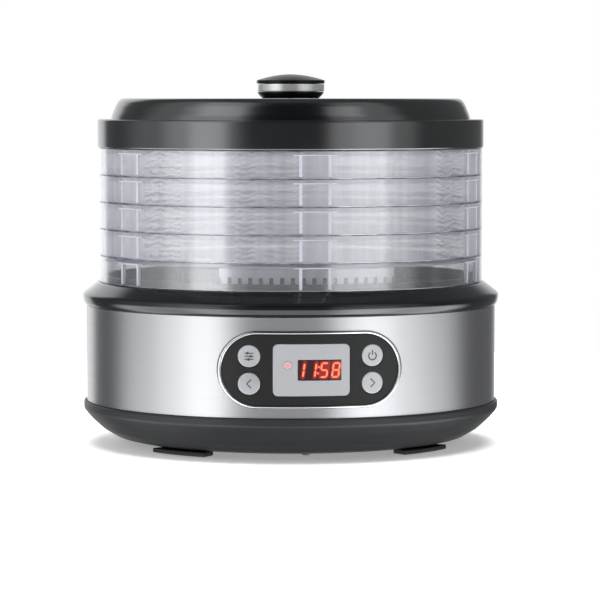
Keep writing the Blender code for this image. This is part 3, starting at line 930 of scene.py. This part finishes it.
def make_digits():
    """The time 11:58 in slanted seven-segment figures: a bright core and a glow on a deep halo."""
    half_width, quarter, slant = 2.5, 2.7, math.tan(math.radians(8))
    # Each figure and its middle, from the display's.
    cells = (("1", -15.0), ("1", -5.7), ("5", 3.6), ("8", 12.9))
    for layer, width, face in (("halo", 3.4, 0.02), ("glow", 2.0, 0.04), ("core", 1.15, 0.06)):
        outlines = []
        for figure, offset in cells:
            place = (figure, DISPLAY_X + offset, width, half_width, quarter)
            if layer == "halo":
                outlines.append(halo_outline(*place))
            else:
                outlines += figure_outlines(*place)
        for height in (2.4, -2.4):
            outlines.append(circle(DISPLAY_X - 1.0, PANEL_Z + height, 0.2 + width * 0.36, 20))
        pieces = []
        for outline in outlines:
            slanted = [(x + (y - PANEL_Z) * slant, y) for x, y in outline]
            pieces.append(panel_piece("part", [slanted], LENS_FACE, LENS_FACE + face))
        add(joined("figures_" + layer, pieces), "base", "digit_" + layer)


def line(points, width):
    """The outline of a bent line, all one width."""
    left, right = [], []
    for i, point in enumerate(points):
        before = Vector(points[max(i - 1, 0)])
        after = Vector(points[min(i + 1, len(points) - 1)])
        along = (after - before).normalized()
        across = Vector((-along.y, along.x)) * width / 2
        left.append(tuple(Vector(point) + across))
        right.append(tuple(Vector(point) - across))
    return left + right[::-1]


def icons():
    """Outlines of each button's icon about its middle: sliders, arrows and a power sign."""
    sliders = []
    for rise, knob in ((2.4, -1.2), (0, 1.4), (-2.4, -0.4)):
        sliders.append(rounded_box(0, rise, 7.0, 0.85, 0.35, 3))
        sliders.append(circle(knob, rise, 1.15, 20))
    less = [line([(1.5, 3.3), (-1.9, 0), (1.5, -3.3)], 1.15)]
    more = [[(-x, y) for x, y in outline] for outline in less]
    sweep = [math.radians(90 + 35 + 290 * i / 30) for i in range(31)]
    power = [line([(3.1 * math.cos(a), 3.1 * math.sin(a) - 0.4) for a in sweep], 1.1)]
    power.append(rounded_box(0, 2.3, 1.1, 3.8, 0.45, 3))
    return {
        "button_program": sliders,
        "button_less": less,
        "button_power": power,
        "button_more": more,
    }


def make_buttons():
    for name, outlines in icons().items():
        x, z = BUTTONS[name]
        z += PANEL_Z
        outline = circle(x, z, BUTTON_RADIUS, 64)
        cap = panel_piece("cap_" + name, [outline], BUTTON_BACK, BUTTON_FACE, 0.7)
        add(cap, name, "button_silver", name)
        marks = []
        for outline in outlines:
            placed = [(x + u, z + v) for u, v in outline]
            faces = (BUTTON_FACE - 0.05, BUTTON_FACE + 0.06)
            marks.append(panel_piece("mark", [placed], *faces, pitch=1.0))
        add(joined("icon_" + name, marks), name, "icon_grey")


# ------------------------------------------------------------------- trays


def tray_wall():
    profile = [
        (159.2, 21.8),
        (159.2, 0.0),
        (157.0, 0.0),
        (157.0, 17.5),
        (154.4, 17.5),
        (154.4, 25.5),
        (156.6, 25.5),
        (156.6, 21.8),
    ]
    return turned("wall", rounded(profile, 0.35, 2), 192)


def tray_floor():
    """A mesh of rings and spokes, stiffer at its middle and rim."""
    starts = [29.0 + 3.1 * i for i in range(39)]
    rings = [(22.0, 26.0)] + [(start, start + 1.3) for start in starts] + [(150.5, 154.6)]
    parts = []
    for inner, outer in rings:
        profile = [(outer, 19.2), (outer, 17.8), (inner, 17.8), (inner, 19.2)]
        parts.append(turned("ring", profile, 108))
    hub = [(9.0, 19.5), (9.0, 17.5), (6.0, 17.5), (6.0, 19.5)]
    parts.append(turned("ring", hub, 64))
    spokes = ((12, 8.0, 2.6, 15), (36, 50.0, 1.6, 5), (72, 100.0, 1.2, 2.5))
    for count, start, width, first in spokes:
        corners = (start, -width / 2, 17.6), (151.5, width / 2, 19.4)
        parts += ring_of(lambda: block("spoke", *corners), count, first)
    return joined("mesh", parts)


def tray_comb():
    """Screens under the floor's rim, front and rear, over a row of posts with gaps for the air."""
    radii = (150.2, 151.4)
    pitch = 360 / 112
    aside = 8
    parts = []
    for middle in (-90, 90):
        for i in range(-aside, aside + 1):
            parts.append(arc_block("post", radii, (1.9, 10.4), middle + pitch * i, 0.61 * pitch, 1))
        width = pitch * (2 * aside + 1)
        parts.append(arc_block("screen", radii, (10.3, 17.7), middle, width, 24))
    return joined("comb", parts)


def tray_tabs(angles):
    """Pairs of ribs inside the wall, each pair with a bar across its top."""
    parts = []
    for angle in angles:
        middle = -90 + TAB_TURN + angle
        for end in (-1, 1):
            place = middle + end * TAB_WIDTH / 2
            parts.append(arc_block("rib", (156.8, 159.33), (1.4, 18.6), place, 0.85, 1))
        parts.append(arc_block("bar", (156.0, 159.33), (17.8, 18.6), middle, TAB_WIDTH + 4))
    return joined("tabs", parts)


def make_trays():
    """The trays share their shapes. Only the lowest has the comb, and its wall is clearer."""
    patterns = {
        "wall": (tray_wall(), "clear_plastic"),
        "mesh": (tray_floor(), "milky_plastic"),
        "comb": (tray_comb(), "comb_plastic"),
        "front_tabs": (tray_tabs(FRONT_TABS), "milky_plastic"),
        "rear_tabs": (tray_tabs(REAR_TABS), "clearest_plastic"),
    }
    for tray in TRAYS:
        lowest = tray == TRAYS[0]
        for shape, (pattern, material) in patterns.items():
            if shape == "comb" and not lowest:
                continue
            mesh = pattern.data
            if shape == "wall" and lowest:
                mesh, material = mesh.copy(), "clearest_plastic"
            piece = bpy.data.objects.new(f"{tray}_{shape}", mesh)
            bpy.context.scene.collection.objects.link(piece)
            piece.location.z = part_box(tray)[0].z
            replaced = [tray] if shape == "wall" else []
            add(piece, tray, material, *replaced)
    for pattern, _ in patterns.values():
        bpy.data.objects.remove(pattern)


# --------------------------------------------------------------- lid, knob


def arc(middle, radius, first, last, parts):
    """Points on a circle from the angle first to last."""
    angles = [math.radians(first + (last - first) * i / parts) for i in range(parts + 1)]
    return [(middle[0] + radius * math.cos(a), middle[1] + radius * math.sin(a)) for a in angles]


def make_lid():
    profile = [
        (2.3, 285.0),
        (138.8, 285.0),
        (141.4, 284.3),
        (143.5, 282.2),
        (145.4, 278.7),
        (148.2, 271.7),
        (149.7, 266.2),
        (151.6, 266.2),
        (151.6, 267.7),
        (160.2, 267.7),
        (160.2, 244.5),
        (157.4, 244.5),
        (157.4, 263.6),
        (146.4, 263.6),
        (142.6, 278.0),
        (139.5, 282.0),
        (137.0, 282.4),
        (2.3, 282.4),
    ]
    lid = turned("cover", rounded(profile, 1.2))
    vent = [rounded_box(76, 0, 28, 3.6, 1.75)]
    cut(lid, ring_of(lambda: shift(slab("vent", vent, 20), 0, 0, 0.272), 8, 22.5))
    add(lid, "lid", "lid_black", "lid")


def make_knob():
    foot = [
        (20.0, 296.9),
        (20.0, 290.45),
        (27.6, 290.45),
        (27.4, 289.3),
        (25.4, 286.9),
        (23.5, 285.05),
        (2.3, 285.05),
        (2.3, 294.3),
        (0, 294.3),
        (0, 296.9),
    ]
    add(turned("knob_foot", rounded(foot, 0.4), 128), "lid", "gloss_black", "knob_base")

    belt = [(20.3, 297.2), *arc((24.0, 293.85), 4.9, 38, -38, 10), (20.3, 290.5)]
    belt = [(min(r, 28.0), max(290.5, min(z, 297.2))) for r, z in belt]
    add(turned("knob_belt", belt, 128), "lid", "belt_chrome", "knob_ring")

    rim, top, rise = 28.3, 305.0, 5.0
    dome = [(rim * i / 14, top - rise * (i / 14) ** 1.9) for i in range(15)]
    profile = dome + [(rim, 297.9), (27.7, 297.25), (0, 297.25)]
    add(turned("knob_dome", profile, 128), "lid", "knob_black", "knob_cap")


# ------------------------------------------------- CAD nodes that stay as they are


KEPT = {
    "zinc_steel": [
        "heat_shield",
        "heater_element",
        "motor_bracket",
        "motor_screw_front",
        "motor_screw_rear",
        "thermal_cutout",
        "temperature_sensor",
        "knob_screw",
    ],
    "inner_black": [
        "air_duct",
        "display_module",
        "fan",
        "button_program_switch",
        "button_less_switch",
        "button_power_switch",
        "button_more_switch",
    ],
    "mica": ["heater_frame"],
    "lamination": ["motor_stator", "rotor_shaft"],
    "copper": ["motor_coil"],
    "board": ["control_board", "power_board"],
}


def dress_kept_nodes():
    for material, names in KEPT.items():
        for name in names:
            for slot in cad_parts[name].material_slots:
                slot.material = MATERIALS[material]


# ------------------------------------------------------------------ studio


# The camera's turn from the front in degrees, and its distance, height and aim in metres.
CAMERA_TURN = -5.5
CAMERA_DISTANCE = 2.5
CAMERA_HEIGHT = 0.285
AIM_RIGHT = 0.0078
AIM_HEIGHT = 0.117
LENS = 180
SENSOR = 36


def make_camera():
    angle = math.radians(CAMERA_TURN)
    camera = bpy.data.objects.new("camera", bpy.data.cameras.new("camera"))
    bpy.context.scene.collection.objects.link(camera)
    camera.data.lens = LENS
    camera.data.sensor_width = SENSOR
    across, along = math.sin(angle), math.cos(angle)
    camera.location = (across * CAMERA_DISTANCE, -along * CAMERA_DISTANCE, CAMERA_HEIGHT)
    aim = Vector((along * AIM_RIGHT, across * AIM_RIGHT, AIM_HEIGHT))
    camera.rotation_euler = (aim - camera.location).to_track_quat("-Z", "Y").to_euler()
    bpy.context.scene.camera = camera


FLOOR_RADIUS = 900
FLOOR_DEPTH = 0.001
FLOOR_DROP = 1
FLOOR_GLOW = 0.3


def make_floor():
    """A thin white table a little below the feet, lit from below."""
    floor = slab("floor", [circle(0, 0, FLOOR_RADIUS, 128)], FLOOR_DEPTH)
    floor.location.z = -FLOOR_DROP * MM
    material, tree, shader = blank_material("studio_floor")
    clouds = object_noise(tree, 3)
    colour = mixed_colour(tree, clouds, (0.86, 0.86, 0.86), (0.90, 0.90, 0.90))
    tree.links.new(colour, shader.inputs["Base Color"])
    shader.inputs["Roughness"].default_value = 0.7
    shader.inputs["Specular IOR Level"].default_value = 0.0
    shader.inputs["Emission Color"].default_value = (1, 1, 1, 1)
    shader.inputs["Emission Strength"].default_value = FLOOR_GLOW
    floor.data.materials.append(material)
    floor.visible_glossy = False


def soft_band(tree, value, middle, half, soft):
    """1 within half of middle, falling smoothly to 0 over soft more."""
    away = math_node(tree, "ABSOLUTE", math_node(tree, "SUBTRACT", value, middle))
    fade = remap(tree, away, 1.0, 0.0, half, half + soft)
    fade.node.interpolation_type = "SMOOTHERSTEP"
    return fade


# (turn, half width, softness, height, half height, softness, strength): degrees but for strength.
# Turn 0 is straight in front of the object, and 90 is on its right.
SOFTBOXES = [
    (-61, 13, 20, 20, 34, 14, 0.72),
    (-56, 11, 12, 38, 5, 8, 0.65),
    (-55, 7, 9, -3, 5, 5, 1.0),
    (-80, 16, 34, 20, 34, 14, 0.4),
    (-80, 26, 26, -32, 12, 12, 3.3),
    (52, 12, 18, 20, 34, 14, 0.47),
    (34, 8, 10, 38, 5, 8, 0.8),
    (36, 13, 12, -3, 5, 5, 0.95),
    (64, 26, 30, -32, 12, 12, 5.0),
    (-5, 45, 30, -36, 11, 12, 2.7),
    (175, 12, 14, 6, 20, 12, 0.7),
    (-172, 16, 12, 6, 20, 12, 1.1),
    (-5, 18, 18, 20, 34, 14, -0.16),
    (-4, 26, 14, -5.5, 2, 3, 0.35),
    (0, 180, 1, -72, 28, 20, 0.15),
]
ROOM = 0.19
BACKDROP = 1.0


def make_world():
    """A dim room with softboxes round it. The camera sees a white backdrop."""
    world = bpy.data.worlds.new("studio")
    bpy.context.scene.world = world
    world.use_nodes = True
    tree = world.node_tree
    tree.nodes.clear()
    place = node(tree, "ShaderNodeTexCoord").outputs["Generated"]
    direction = node(tree, "ShaderNodeSeparateXYZ", {"Vector": place}).outputs
    front = math_node(tree, "MULTIPLY", direction["Y"], -1.0)
    turned_by = math_node(tree, "ARCTAN2", direction["X"], front)
    raised_by = math_node(tree, "ARCSINE", direction["Z"])
    radiance = ROOM
    for *angles, strength in SOFTBOXES:
        angles = [math.radians(angle) for angle in angles]
        across = soft_band(tree, turned_by, *angles[:3])
        up = soft_band(tree, raised_by, *angles[3:])
        both = math_node(tree, "MULTIPLY", across, up)
        radiance = math_node(tree, "MULTIPLY_ADD", both, strength, radiance)
    inputs = {"Color": (0.97, 0.985, 1.0, 1), "Strength": radiance}
    studio = node(tree, "ShaderNodeBackground", inputs)
    inputs = {"Color": (1, 1, 1, 1), "Strength": BACKDROP}
    backdrop = node(tree, "ShaderNodeBackground", inputs)
    seen = node(tree, "ShaderNodeLightPath").outputs["Is Camera Ray"]
    output = node(tree, "ShaderNodeOutputWorld")
    both = mixed_shader(tree, seen, studio, backdrop)
    tree.links.new(both.outputs[0], output.inputs["Surface"])


def make_lamp(name, size, energy, place, aim):
    """A round lamp that lights the scene but shows neither itself nor a reflection."""
    light = bpy.data.lights.new(name, "AREA")
    light.shape = "DISK"
    light.size = size
    light.energy = energy
    lamp = bpy.data.objects.new(name, light)
    lamp.location = place
    lamp.rotation_euler = (Vector(aim) - Vector(place)).to_track_quat("-Z", "Y").to_euler()
    lamp.visible_camera = False
    lamp.visible_glossy = False
    bpy.context.scene.collection.objects.link(lamp)


def make_lights():
    make_lamp("overhead", size=2.4, energy=78, place=(0, -0.2, 2.2), aim=(0, 0, 0))
    make_lamp("behind", size=1.4, energy=16, place=(0, 1.5, 0.7), aim=(0, 0, 0.2))


make_bottom_housing()
make_feet()
make_base_screws()
make_band()
make_upper_housing()
make_vent_grille()
make_gland()
make_panel()
make_digits()
make_buttons()
make_trays()
make_lid()
make_knob()
dress_kept_nodes()
make_camera()
make_floor()
make_world()
make_lights()
bpy.context.scene.view_settings.view_transform = "Standard"
